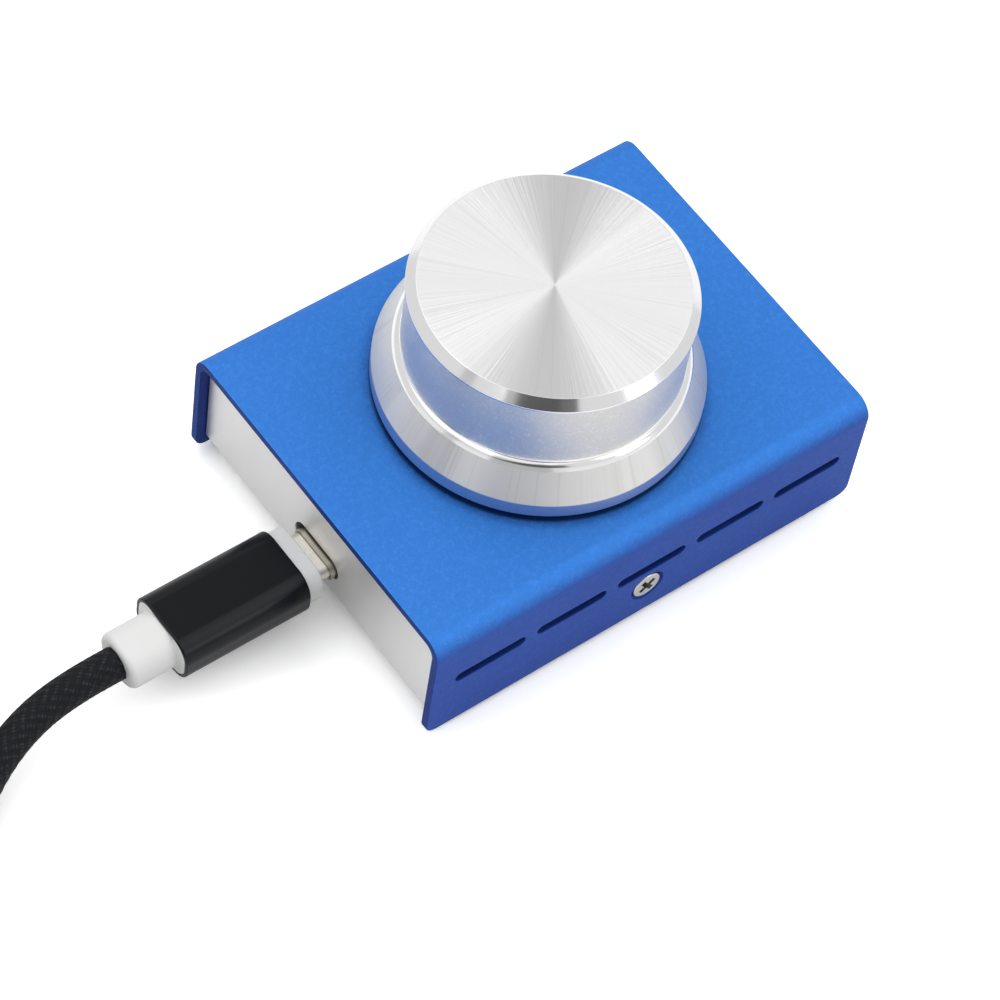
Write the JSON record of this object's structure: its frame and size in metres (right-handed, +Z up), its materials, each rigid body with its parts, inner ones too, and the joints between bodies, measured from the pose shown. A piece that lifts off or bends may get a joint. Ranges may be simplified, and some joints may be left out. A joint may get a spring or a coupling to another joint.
{
  "type": "usb volume control knob",
  "caption": "Desk volume control: a turned metal knob that turns endlessly and presses, on a slotted sheet-metal case with a USB-C port and a braided lead.",
  "frame": {"origin": "on the surface the feet stand on, under the middle of the case, on the knob's axis", "axes": "+Z up along the knob's axis, X along the case's long side with the USB port facing -X, Y across the slotted sides"},
  "size_m": [0.2004, 0.0814, 0.0448],
  "materials": {
    "cover_blue": "anodised satin blue",
    "chassis_silver": "satin silver",
    "foot_rubber": "matt black",
    "screw_nickel": "nickel plated",
    "board_green": "solder resist",
    "stud_steel": "zinc plated",
    "shell_nickel": "nickel plated",
    "insert_black": "moulded black",
    "contact_gold": "gold plated",
    "bushing_zinc": "die cast",
    "shaft_aluminium": "turned",
    "rotor_plastic": "moulded",
    "capacitor_tan": "ceramic",
    "knob_aluminium": "turned face, blasted wall, polished ring",
    "mould_white": "gloss white",
    "sleeve_black": "satin black",
    "insert_white": "moulded white",
    "cord_braid": "black braid",
    "tie_black": "woven strap"
  },
  "bodies": {
    "case": {"top_cover": "cover_blue", "base_chassis": "chassis_silver", "rubber_feet": "foot_rubber", "side_screws": "screw_nickel", "circuit_board": "board_green", "board_studs": "stud_steel", "board_screws": "stud_steel", "usb_receptacle_shell": "shell_nickel", "usb_receptacle_tongue": "insert_black", "usb_receptacle_contacts": "contact_gold", "encoder_housing": "insert_black", "encoder_frame": "stud_steel", "encoder_bushing": "bushing_zinc", "switch_dome": "shell_nickel", "encoder_pins": "shell_nickel", "microcontroller": "insert_black", "controller_leads": "shell_nickel", "chip_capacitors": "capacitor_tan", "chip_resistors": "insert_black", "plug_tip": "shell_nickel", "plug_insert": "insert_black", "plug_mould": "mould_white", "plug_sleeve": "sleeve_black", "host_mould": "mould_white", "host_sleeve": "sleeve_black", "host_shell": "shell_nickel", "host_insert": "insert_white", "host_contacts": "contact_gold", "cord_lead": "cord_braid", "cord_coil": "cord_braid", "cord_tail": "cord_braid", "cord_tie": "tie_black"},
    "rotor": {"encoder_rotor": "rotor_plastic"},
    "knob": {"encoder_shaft": "shaft_aluminium", "knob": "knob_aluminium", "knob_set_screw": "stud_steel"}
  },
  "joints": [
    {"name": "knob_turn", "type": "hinge", "parent": "case", "child": "rotor", "pos_m": [0, 0, 0.0102], "axis": [0, 0, 1], "continuous": true},
    {"name": "knob_press", "type": "slide", "parent": "rotor", "child": "knob", "axis": [0, 0, -1], "range_m": [0, 0.0005], "stiffness_N_per_m": 10000, "springref_m": -0.0001, "deforming": ["switch_dome"]}
  ]
}
